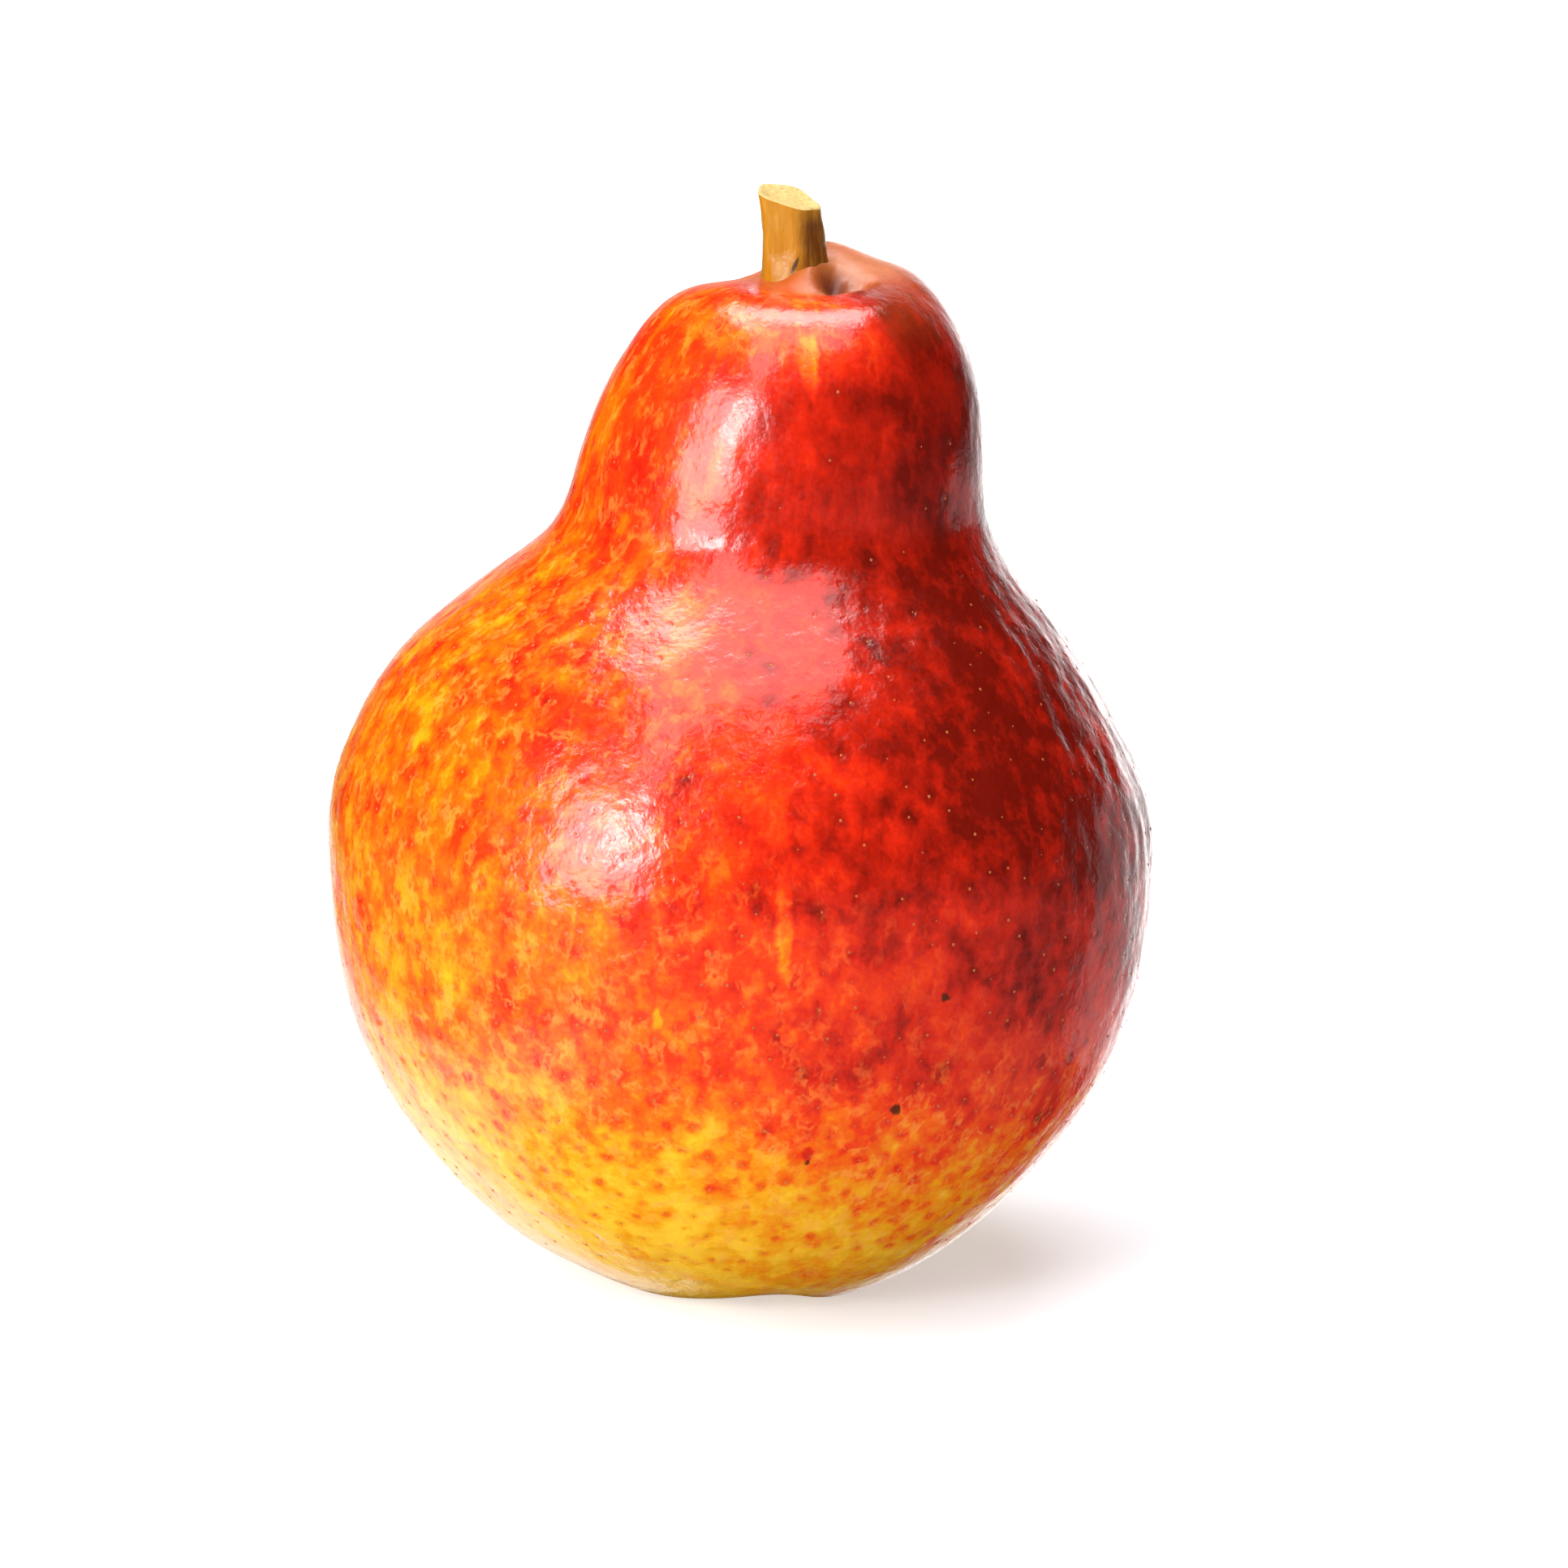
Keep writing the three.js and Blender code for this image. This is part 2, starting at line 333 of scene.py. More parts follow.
class Shapes(Wires):
    """Wires with the steps that a tree of geometry is made of."""

    def step(self, kind, geometry, ends=(), **settings):
        return self.node(kind, {"Geometry": geometry, **dict(ends)}, **settings).outputs[0]

    def position(self):
        return self.node("GeometryNodeInputPosition").outputs[0]

    def moved(self, geometry, **ends):
        return self.step("GeometryNodeSetPosition", geometry, ends)

    def transformed(self, geometry, **ends):
        return self.step("GeometryNodeTransform", geometry, ends)

    def welded(self, geometry):
        return self.step("GeometryNodeMergeByDistance", geometry, {"Distance": WELD_DISTANCE})

    def joined(self, *parts):
        made = self.node("GeometryNodeJoinGeometry")
        for part in parts:
            self.tree.links.new(part, made.inputs[0])
        return made.outputs[0]

    def noted(self, geometry, name, vector, domain):
        """The geometry with a vector kept on it under a name."""
        kind = "GeometryNodeStoreNamedAttribute"
        ends = {"Name": name, "Value": vector}
        return self.step(kind, geometry, ends, data_type="FLOAT_VECTOR", domain=domain)

    def dressed(self, geometry, material):
        """The geometry with its instances made real, shaded smooth, and with its material."""
        real = self.step("GeometryNodeRealizeInstances", geometry)
        smooth = self.step("GeometryNodeSetShadeSmooth", real)
        return self.step("GeometryNodeSetMaterial", smooth, {"Material": material})


def new_group(name, inputs, outputs, kind="ShaderNodeTree", wiring=Wires):
    """A node group with named inputs and outputs, as its wires, its inputs and its outputs."""
    tree = bpy.data.node_groups.new(name, kind)
    for label, socket, default in inputs:
        made = tree.interface.new_socket(name=label, in_out="INPUT", socket_type="NodeSocket" + socket)
        if default is not None:
            made.default_value = default
    for label, socket in outputs:
        tree.interface.new_socket(name=label, in_out="OUTPUT", socket_type="NodeSocket" + socket)
    given = tree.nodes.new("NodeGroupInput").outputs
    result = tree.nodes.new("NodeGroupOutput").inputs
    return wiring(tree), given, result


def new_shape(name, inputs, outputs=(("Geometry", "Geometry"),)):
    """A geometry tree with named inputs and outputs."""
    return new_group(name, inputs, outputs, "GeometryNodeTree", Shapes)


def shared_group(name, build):
    """The node group of that name, built the first time that a material asks for it."""
    return bpy.data.node_groups.get(name) or build(name)


def new_object(name, data):
    """A new object in the scene."""
    made = bpy.data.objects.new(name, data)
    bpy.context.scene.collection.objects.link(made)
    return made


def add_piece(name, mesh, replaced=None):
    """Puts a finished mesh into the scene as a piece of the pear."""
    mesh.name = name
    piece = new_object(name, mesh)
    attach(piece, BODY)
    if replaced:
        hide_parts(replaced)
    return piece


def grown(tree, source, values):
    """The plain mesh that a geometry tree makes of a source mesh, with its named inputs set to values."""
    carrier = new_object("carrier", source)
    modifier = carrier.modifiers.new("growth", "NODES")
    modifier.node_group = tree
    for item in tree.interface.items_tree:
        if item.in_out == "INPUT" and item.name in values:
            modifier[item.identifier] = values[item.name]
    depsgraph = bpy.context.evaluated_depsgraph_get()
    mesh = bpy.data.meshes.new_from_object(
        carrier.evaluated_get(depsgraph), preserve_all_data_layers=True, depsgraph=depsgraph
    )
    carrier.modifiers.remove(modifier)
    bpy.data.objects.remove(carrier)
    mesh.materials.clear()
    mesh.materials.append(values["Material"])
    return mesh


def outline_curve():
    """The meridian of the pear as a curve: x is the radius, y the lean and z the height."""
    mirrored = [(-STATIONS[1][0], *STATIONS[1][1:]), *STATIONS, (-STATIONS[-2][0], *STATIONS[-2][1:])]
    data = bpy.data.curves.new("outline", "CURVE")
    data.dimensions = "3D"
    spline = data.splines.new("NURBS")
    spline.points.add(len(mirrored) - 1)
    for point, (radius, height, lean) in zip(spline.points, mirrored):
        point.co = (radius, lean, height, 1)
    spline.order_u = 4
    spline.resolution_u = OUTLINE_STEPS
    return new_object("outline", data)


def low_forms(w, forms, distance, strength):
    """The sum of low rounded forms.

    Each form ends in its reach and rise, and distance measures from its middle.
    """
    total = 0.0
    for *middle, reach, rise in forms:
        total = w.add(w.times(w.bump(distance(*middle), reach), strength, rise), total)
    return total


def surface_position(w, given, turn, radius, lean, height):
    """Where a point of the round outline really lies on this pear, in millimetres."""
    off_axis = w.fade(radius, 0, POLE_REACH)
    phase = w.times(w.less(turn, LOBE_ANGLE), LOBE_COUNT)
    skew = w.times(w.less(1.0, w.math("COSINE", phase)), 0.5 * GROOVE_SKEW)
    between = w.less(1.0, w.math("COSINE", w.less(phase, skew)))
    groove = w.times(between, 0.5, off_axis)
    pinch = w.times(groove, GROOVE_SHARE, w.bump(height, GROOVE_HEIGHT))

    def from_swelling(degrees, level):
        half = w.times(w.less(turn, math.radians(degrees)), 0.5)
        across = w.times(w.math("SINE", half), radius, 2.0)
        return w.vector("LENGTH", w.join(across, w.less(height, level), 0.0))

    swollen = w.times(radius, w.less(1.0, pinch))
    in_front = w.fade(w.math("SINE", turn), *WAIST_SPAN)
    waist = w.times(w.bump(w.less(height, WAIST_HEIGHT), WAIST_REACH), in_front, -WAIST_DEPTH)
    swollen = w.add(swollen, low_forms(w, SWELLINGS, from_swelling, off_axis), waist)
    x = w.add(lean, w.times(swollen, w.math("COSINE", turn)))
    y = w.times(swollen, w.math("SINE", turn))
    at_base = w.math("LESS_THAN", height, BASE_HEIGHT)
    on_ring = w.bump(w.less(radius, LOBE_RADIUS), LOBE_REACH)
    lift = w.times(on_ring, groove, at_base, given["Groove rise"])

    def from_crown_form(east, north):
        middle = (STEM_FOOT[0] + east, STEM_FOOT[1] + north, 0.0)
        return w.vector("DISTANCE", w.join(x, y, 0.0), middle)

    on_crown = w.fade(height, CROWN_FOOT, CROWN_FOOT + CROWN_FADE)
    rise = low_forms(w, CROWN_FORMS, from_crown_form, on_crown)
    return w.join(x, y, w.math("MAXIMUM", w.add(height, lift, rise), REST_LEVEL))


def surface_relief(w, given, turn):
    """How far the skin stands out or in at a place, in millimetres: lumps, ripples and wrinkles."""
    place = w.position()
    x, y, height = w.split(place)
    lumps = w.wave(place, LUMP_SIZE, 1.0, detail=1.0)
    ripples = w.wave(place, RIPPLE_SIZE, 1.0, detail=2.0, distortion=0.6)
    along = w.join(x, y, w.times(height, WRINKLE_SQUEEZE))
    wrinkles = w.wave(along, WRINKLE_SIZE, 1.0, detail=2.0)
    facing = w.math("COSINE", w.less(turn, math.radians(WRINKLE_AZIMUTH)))
    on_shoulder = w.times(w.fade(height, *WRINKLE_FOOT), w.fade(height, *WRINKLE_TOP))
    wrinkled = w.add(w.times(w.fade(facing, *WRINKLE_SPREAD), on_shoulder), WRINKLE_ELSEWHERE)
    total = w.add(
        w.times(lumps, given["Lump rise"]),
        w.times(ripples, given["Ripple rise"]),
        w.times(wrinkles, wrinkled, given["Wrinkle rise"]),
    )
    return w.times(total, w.fade(height, *SMOOTH_BASE))


def scatter_group(name):
    """Points spread over a skin as its lenticels are: closer together at the blossom end."""
    inputs = (("Skin", "Geometry", None), ("Spacing", "Float", 1.9), ("Seed", "Int", 4))
    w, given, result = new_shape(name, inputs, (("Points", "Geometry"), ("Rotation", "Rotation")))
    level = w.split(w.scaled(w.position(), 1 / MM))[2]
    thinned = [w.fade(level, *span) for span in (LENTICEL_THINNING, LENTICEL_TOP, LENTICEL_FOOT)]
    ends = {
        "Mesh": given["Skin"],
        "Distance Min": w.times(given["Spacing"], MM),
        "Density Max": 1 / MM**2,
        "Density Factor": w.times(*thinned),
        "Seed": given["Seed"],
    }
    spread = w.node("GeometryNodeDistributePointsOnFaces", ends, distribute_method="POISSON").outputs
    w.feed(result["Points"], spread["Points"])
    w.feed(result["Rotation"], spread["Rotation"])
    return w.tree


def scattered(w, skin, spacing, seed):
    """Adds the shared scatter of lenticels to a geometry tree."""
    tree = shared_group("Lenticel scatter", scatter_group)
    ends = {"Skin": skin, "Spacing": spacing, "Seed": seed}
    return w.node("GeometryNodeGroup", ends, node_tree=tree).outputs


def surface_tree():
    """The skin: the turned outline with its lobes, swellings, crown and relief, marked for its material."""
    inputs = (
        ("Outline", "Object", None),
        ("Segments", "Int", 384),
        ("Rings", "Int", 256),
        ("Groove rise", "Float", 0.9),
        ("Lump rise", "Float", 0.22),
        ("Ripple rise", "Float", 0.08),
        ("Wrinkle rise", "Float", 0.19),
        ("Lenticel spacing", "Float", 1.9),
        ("Seed", "Int", 4),
        ("Material", "Material", None),
    )
    w, given, result = new_shape("Pear skin", inputs)
    outline = w.node("GeometryNodeObjectInfo", {"Object": given["Outline"]}).outputs["Geometry"]
    across = w.math("ADD", given["Segments"], 1)
    sheet = w.node("GeometryNodeMeshGrid", {"Vertices X": across, "Vertices Y": given["Rings"]}).outputs
    u, v, _ = w.split(sheet["UV Map"])
    turn = w.add(w.times(u, 2 * math.pi), -math.pi / 2)
    sampled = w.node("GeometryNodeSampleCurve", {"Curves": outline, "Factor": v}, mode="FACTOR")
    radius, lean, height = w.split(sampled.outputs["Position"])
    radius = w.math("MAXIMUM", radius, 0.0)
    length = w.node("GeometryNodeCurveLength", {"Curve": outline}).outputs[0]
    meridian = w.join(w.math("COSINE", turn), w.math("SINE", turn), w.times(v, length))
    marked = w.noted(sheet["Mesh"], "meridian", meridian, "POINT")
    turned = w.moved(marked, Position=surface_position(w, given, turn, radius, lean, height))
    kept = w.node("GeometryNodeInputNamedAttribute", {"Name": "meridian"}, data_type="FLOAT_VECTOR")
    cosine, sine, _ = w.split(kept.outputs[0])
    relief = surface_relief(w, given, w.math("ARCTAN2", sine, cosine))
    outward = w.node("GeometryNodeInputNormal").outputs[0]
    raised = w.moved(w.welded(turned), Offset=w.scaled(outward, relief))

    # The pear is centred on its smooth shape, and stands on the floor
    box = w.node("GeometryNodeBoundBox", {"Geometry": turned}).outputs
    aside, back, _ = w.split(w.scaled(w.vector("ADD", box["Min"], box["Max"]), -0.5))
    shift = w.scaled(w.join(aside, back, -REST_LEVEL), MM)
    settled = w.transformed(raised, Translation=shift, Scale=(MM, MM, MM))

    # Each face notes where its nearest lenticel is
    points = scattered(w, settled, given["Lenticel spacing"], given["Seed"])["Points"]
    place = w.position()
    nearest = w.step("GeometryNodeSampleNearest", points, {"Sample Position": place}, domain="POINT")
    ends = {"Value": place, "Index": nearest}
    where = w.step("GeometryNodeSampleIndex", points, ends, data_type="FLOAT_VECTOR", domain="POINT")
    dotted = w.noted(settled, "lenticel", where, "FACE")
    w.feed(result[0], w.dressed(dotted, given["Material"]))
    return w.tree


def lenticel_tree():
    """The corky dots: low round caps, of one size class but none alike, set on the skin's scatter."""
    inputs = (
        ("Skin", "Geometry", None),
        ("Spacing", "Float", 1.9),
        ("Radius", "Float", 0.115),
        ("Flatness", "Float", 0.22),
        ("Seed", "Int", 4),
        ("Material", "Material", None),
    )
    w, given, result = new_shape("Lenticels", inputs)
    spread = scattered(w, given["Skin"], given["Spacing"], given["Seed"])
    radius = w.times(given["Radius"], MM)
    cap = w.node("GeometryNodeMeshUVSphere", {"Segments": 8, "Rings": 4, "Radius": radius}).outputs["Mesh"]
    flat = w.join(1.0, 1.0, given["Flatness"])
    chance = w.chance(w.scaled(w.position(), 1 / MM))
    ends = {
        "Points": spread["Points"],
        "Instance": cap,
        "Rotation": spread["Rotation"],
        "Scale": w.scaled(flat, w.fade(chance, 0, 1, *LENTICEL_SIZES)),
    }
    placed = w.node("GeometryNodeInstanceOnPoints", ends).outputs[0]
    w.feed(result[0], w.dressed(placed, given["Material"]))
    return w.tree


def new_material(name):
    """A bare material, as itself, its wires and its principled shader."""
    material = bpy.data.materials.new(name)
    material.use_nodes = True
    shader = next(n for n in material.node_tree.nodes if n.type == "BSDF_PRINCIPLED")
    return material, Wires(material.node_tree), shader


def object_place(w):
    """Where a point lies on its piece, in millimetres of the nominal pear."""
    return w.scaled(w.node("ShaderNodeTexCoord").outputs["Object"], 1 / MM)


# The blush: the azimuth that it faces, in degrees with the camera at -90, how far the middle of the neck
# lies off the axis, and the greatest depth before mottles are added
BLUSH_AZIMUTH = -20
NECK_LEAN = 4.8
DEEPEST = 0.97
# The depths of pigment at which the skin has its seven colours, from pale yellow to maroon
PIGMENT_DEPTHS = (0.0, 0.2, 0.42, 0.6, 0.76, 0.88, 1.0)


def blush_group(name):
    """The depth of the red pigment, from 0 for yellow skin to 1 for maroon, by place alone."""
    w, given, result = new_group(name, (("Place", "Vector", None),), (("Depth", "Float"),))
    x, y, z = w.split(given["Place"])
    level = w.vector("NORMALIZE", w.join(w.less(x, w.fade(z, 50, 82, 0.0, NECK_LEAN)), y, 0.0))
    facing = (math.cos(math.radians(BLUSH_AZIMUTH)), math.sin(math.radians(BLUSH_AZIMUTH)), 0)
    side = w.vector("DOT_PRODUCT", level, facing)
    round_it = w.add(w.times(side, 0.34), w.times(side, side, 0.13), 0.6)
    up_it = w.times(w.fade(z, 3, 28, 0.2, 0.85), w.fade(z, 34, 46, 1.0, 1.17))
    low_left = w.times(w.fade(z, 31, 15, 0.0, -0.11), w.fade(side, 0.8, 0.1))
    low_right = w.times(w.fade(z, 34, 22, 0.0, -0.12), w.fade(z, 10, 18), w.fade(side, 0.5, 0.9))
    on_neck = w.times(w.fade(z, 56, 68, 0.0, 0.14), w.fade(side, 0.9, 0.0))
    on_crown = w.times(w.fade(z, 77, 83, 0.0, -0.24), w.fade(side, -0.4, 0.3), w.fade(side, 0.98, 0.7))
    depth = w.add(w.times(round_it, up_it), low_left, low_right, on_neck, on_crown)
    w.feed(result["Depth"], w.math("MINIMUM", depth, DEEPEST))
    return w.tree


def blush_depth(w, place):
    """The shared depth of the blush at a place."""
    tree = shared_group("Blush", blush_group)
    return w.node("ShaderNodeGroup", {"Place": place}, node_tree=tree).outputs["Depth"]


# Marks on the skin: azimuth in degrees with the camera at -90, height, half width, half height, and how
# much deeper or paler the pigment is there
PIGMENT_MARKS = (
    (-84, 37.5, 0.7, 4.5, -0.26),  # the yellow streak down the front
    (-83.5, 28.9, 0.8, 0.9, -0.2),
    (-101, 30.2, 0.45, 1.0, -0.2),  # the pale oval
    (-113, 7.5, 1.0, 2.6, 0.16),  # the orange crease between two lobes
    (-80, 17.9, 0.7, 0.6, 0.3),
    (-86, 80.6, 0.8, 2.6, -0.25),  # the yellow streak near the crown
    (-92, 59.5, 9.0, 6.5, -0.1),  # the paler place under the waist, a painted highlight where the overhead light's reflection lies
)
# How far a mark reaches inwards and outwards, since the real skin lies a little off the stations
MARK_DEPTH = 8
# Scabs: azimuth, height, radius
SCABS = (
    (-67, 21.5, 0.5),
    (-61, 31.0, 0.45),
    (-80, 17.2, 0.3),
)
# The stations of the skin's side, without the basin and the crown
SIDE_STATIONS = STATIONS[3:19]

# The hollow round the stem, the pit beside it where shade is painted, and the healed nick in its bark
HOLLOW_MIDDLE = (STEM_FOOT[0] + 2.4, STEM_FOOT[1] + 2.2, 0.0)
PIT_SHADE_PLACE = (STEM_FOOT[0] + 3.2, STEM_FOOT[1] - 2.2, 85.0)
PIT_SHADE_REACH = 1.9
NICK_PLACE = (4.5, -2.6, 87.1)


def skin_point(azimuth, height):
    """A point of the round outline at an azimuth in degrees and a height, in millimetres."""
    radii, heights, leans = zip(*SIDE_STATIONS)
    radius = np.interp(height, heights, radii)
    lean = np.interp(height, heights, leans)
    turn = math.radians(azimuth)
    return (lean + radius * math.cos(turn), radius * math.sin(turn), height)


def mark_mask(w, place, azimuth, height, half_width, half_height):
    """1 in an oval on the skin round that place, with a soft edge."""
    turn = math.radians(azimuth)
    away = w.vector("SUBTRACT", place, skin_point(azimuth, height))
    across = w.vector("DOT_PRODUCT", away, (-math.sin(turn), math.cos(turn), 0))
    inwards = w.vector("DOT_PRODUCT", away, (math.cos(turn), math.sin(turn), 0))
    away = w.join(across, inwards, w.split(away)[2])
    shares = w.vector("DIVIDE", away, (half_width, MARK_DEPTH, half_height))
    return w.fade(w.vector("LENGTH", shares), 0.6, 1.3, 1.0, 0.0)


def skin_material(look):
    """Waxy skin: red pigment over yellow in a mottled net, with streaks and dark round lenticels."""
    material, w, shader = new_material("Pear skin")
    place = object_place(w)
    x, y, z = w.split(place)
    cosine, sine, arc = w.split(w.kept("meridian"))
    depth = blush_depth(w, place)

    # Clouds, dabs of colour, and the pale broken net between them
    warp = w.stir(place, 1.1, detail=3.0)
    warped = w.vector("ADD", place, w.scaled(warp, 1.1))
    aside, back, up = w.split(warped)
    stretched = w.add(w.times(up, 0.34), w.times(w.math("MINIMUM", up, 62.0), 0.28))
    long_place = w.join(aside, back, stretched)
    clouds = w.times(w.wave(place, 7.0, 0.21, detail=2.0), w.fade(depth, 0.75, 0.97, 1.0, 0.6))
    patches = w.wave(warped, 3.4, 0.3, detail=3.0, roughness=0.6)
    dabs = w.wave(long_place, 1.5, 0.26, detail=2.0, roughness=0.55)
    specks = w.wave(place, 0.35, 0.08, detail=1.0)
    mottle = w.times(w.add(patches, dabs, specks), w.fade(depth, 0.6, 0.95, 1.0, 0.6))
    mottle = w.times(mottle, w.fade(z, 62, 76, 1.0, 0.75))
    lines = w.math("ABSOLUTE", w.wave(long_place, 2.4, 1.0, detail=3.0, roughness=0.65))
    broken = w.fade(w.cloud(warped, 1.9, detail=3.0, roughness=0.6)[0], 0.42, 0.66)
    net = w.times(w.fade(lines, 0.0, 0.16, 1.0, 0.0), broken)
    paler = w.times(net, w.fade(depth, 0.4, 0.9, 0.08, 0.05))

    # Streaks that run from the stem down the neck
    streak_place = w.join(w.times(cosine, 17.0), w.times(sine, 17.0), w.times(arc, 0.14))
    streak = w.fade(w.cloud(streak_place, 1.9, detail=3.0, roughness=0.55)[0], 0.48, 0.8)
    on_neck = w.times(w.fade(z, 50, 74), w.fade(depth, 1.0, 0.75))
    streaks = w.times(streak, on_neck, 0.2)

    # Lenticels, each in a soft round patch of deeper colour
    lenticel = w.scaled(w.kept("lenticel"), 1 / MM)
    away = w.vector("DISTANCE", w.vector("ADD", place, w.scaled(warp, 0.5)), lenticel)
    chance = w.chance(lenticel)
    reach = w.times(w.fade(chance, 0.0, 1.0, 0.75, 1.3), w.fade(depth, 0.2, 0.75, 0.62, 0.95))
    halo = w.fade(w.math("DIVIDE", away, reach), 0.2, 1.1, 1.0, 0.0)
    halos = w.times(halo, w.fade(depth, 0.3, 0.85, 0.2, 0.07), w.fade(chance, 0.0, 1.0, 0.5, 1.0))

    total = w.add(depth, clouds, mottle, halos, w.times(paler, -1.0), w.times(streaks, -1.0))
    for *oval, change in PIGMENT_MARKS:
        total = w.add(total, w.times(mark_mask(w, warped, *oval), change))
    skin = (look.pale, look.golden, look.orange, look.vermilion, look.red, look.crimson, look.maroon)
    colour = w.ramp(total, PIGMENT_DEPTHS, skin)
    colour = w.mix(w.times(net, w.fade(depth, 0.85, 0.45, 0.0, 0.5)), colour, look.net)

    # The tan flesh-coloured skin in the hollow round the stem, russet at its edge, and painted shade that
    # darkens the pit beside the stem
    from_middle = w.vector("DISTANCE", w.join(x, y, 0.0), HOLLOW_MIDDLE)
    from_middle = w.add(from_middle, w.wave(place, 3.0, 1.2))
    rim = w.add(y, w.wave(place, 2.2, 0.8), w.fade(x, 6.0, 14.0, 0.0, -0.6))
    behind_rim = w.fade(rim, w.fade(x, 6.0, 12.0, -5.9, -8.0), w.fade(x, 6.0, 12.0, -4.7, -1.0))
    in_hollow = w.add(w.times(w.fade(from_middle, 5.5, 11.0), -1.0), 1.0)
    in_hollow = w.times(in_hollow, behind_rim, w.fade(z, 80.5, 83.5), w.fade(patches, -0.2, 0.2, 1.0, 0.75))
    russet = w.fade(w.add(from_middle, w.times(dabs, 6.0)), 4.0, 9.5, 0.05, 0.8)
    colour = w.mix(in_hollow, colour, w.mix(russet, look.tan, look.russet))
    on_right = w.times(w.fade(x, 8.5, 14.0), w.fade(w.add(z, w.times(patches, 6.0)), 80, 86), 0.4)
    colour = w.mix(w.times(on_right, w.less(1.0, in_hollow)), colour, look.russet)
    # Painted shade: the pit beside the stem is darkened towards the Pit colour
    pit_shade = w.times(w.bump(w.vector("DISTANCE", place, PIT_SHADE_PLACE), PIT_SHADE_REACH), 0.95)
    colour = w.mix(pit_shade, colour, look.pit)
    for azimuth, height, radius in SCABS:
        mask = mark_mask(w, warped, azimuth, height, radius, radius)
        colour = w.mix(w.times(mask, 0.9), colour, look.scab)

    # The wax and its fine grain, which is weaker on the neck
    grain = w.cloud(place, 0.5, detail=3.0)[0]
    smoothness = w.fade(grain, 0.3, 0.7, look.roughness - 0.05, look.roughness + 0.06)
    swirl = w.times(w.cloud(warped, 2.3, detail=3.0, roughness=0.45)[0], w.fade(z, 60, 74, 1.0, 0.55))
    pores = w.cloud(place, 0.4, detail=1.0)[0]
    height_map = w.add(swirl, w.times(pores, 0.12), w.fade(away, 0.1, 0.5, -0.15, 0.0))
    finish = {
        "Base Color": colour,
        "Roughness": w.add(smoothness, w.times(in_hollow, 0.3)),
        "Specular IOR Level": look.sheen,
        "Coat Weight": look.wax,
        "Coat Roughness": look.wax_roughness,
        "Normal": w.relief(height_map, look.peel),
    }
    w.put(shader, finish)
    return material


def cork_material(look):
    """The lenticels' cork: tan in the red skin, and brown where the skin is yellow."""
    material, w, shader = new_material("Lenticel cork")
    place = object_place(w)
    light = w.mix(w.fade(blush_depth(w, place), 0.3, 0.6), look.brown, look.tan)
    shade = w.times(w.cloud(place, 0.25, detail=2.0)[0], 0.5)
    w.put(shader, {"Base Color": w.mix(shade, light, look.brown), "Roughness": 0.6})
    return material


def grain_group(name):
    """Long fibres along Z, as in wood and dry leaves, from 0 to 1."""
    inputs = (("Place", "Vector", None), ("Width", "Float", 0.3), ("Stretch", "Float", 0.15))
    w, given, result = new_group(name, inputs, (("Fibres", "Float"),))
    x, y, z = w.split(given["Place"])
    long = w.vector("DIVIDE", w.join(x, y, w.times(z, given["Stretch"])), w.join(*[given["Width"]] * 3))
    ends = {"Vector": long, "Scale": 1.0, "Detail": 4.0}
    w.feed(result["Fibres"], w.node("ShaderNodeTexNoise", ends).outputs[0])
    return w.tree


def grain(w, place, width, stretch):
    """The shared grain at a place, with fibres of that width."""
    ends = {"Place": place, "Width": width, "Stretch": stretch}
    return w.node("ShaderNodeGroup", ends, node_tree=shared_group("Grain", grain_group)).outputs["Fibres"]


def bark_material(look):
    """Smooth ochre bark with a dark nick, turned brown by painted shade on its right side, most towards its
    foot.
    """
    material, w, shader = new_material("Stem bark")
    place = object_place(w)
    x, y, z = w.split(place)
    fibres = grain(w, place, 0.35, 0.12)
    blotches = w.cloud(place, 1.6, detail=3.0)[0]
    # Painted shade: the bark turns brown on its right side, away from the light, most towards its foot
    side = w.fade(w.add(x, w.wave(place, 1.6, 0.7, detail=3.0)), 4.3, 5.7)
    shade_towards_foot = w.fade(w.add(z, w.wave(place, 1.2, 0.8)), 91.9, 90.2, 0.15, 0.85)
    colour = w.mix(w.times(side, shade_towards_foot), look.ochre, look.brown)
    colour = w.mix(w.times(w.fade(fibres, 0.45, 0.75), 0.25), colour, look.amber)
    across, _, up = w.split(w.vector("SUBTRACT", place, NICK_PLACE))
    nick = w.vector("DIVIDE", w.join(w.less(across, w.times(up, 0.42)), 0.0, up), (0.2, 1.0, 0.75))
    colour = w.mix(w.fade(w.vector("LENGTH", nick), 0.6, 1.3, 0.9, 0.0), colour, look.nick)
    finish = {
        "Base Color": colour,
        "Roughness": w.fade(fibres, 0.3, 0.8, 0.26, 0.42),
        "Normal": w.relief(w.add(w.times(fibres, 0.4), blotches), 0.12),
    }
    w.put(shader, finish)
    return material


def cut_material(look):
    """The cut end: cream wood, clouded with a darker shade of it."""
    material, w, shader = new_material("Stem cut end")
    rays = w.cloud(object_place(w), 0.35, detail=4.0)[0]
    colour = w.mix(w.fade(rays, 0.35, 0.7), look.cream, look.cut_shade)
    w.put(shader, {"Base Color": colour, "Roughness": 0.7, "Normal": w.relief(rays, 0.05)})
    return material


def dry_leaf_material(look):
    """Dried sepals and stamens: dark brown, with paler veins."""
    material, w, shader = new_material("Dried calyx")
    fibres = grain(w, object_place(w), 0.2, 0.6)
    colour = w.mix(w.fade(fibres, 0.35, 0.7), look.dark, look.light)
    w.put(shader, {"Base Color": colour, "Roughness": 0.85, "Normal": w.relief(fibres, 0.06)})
    return material


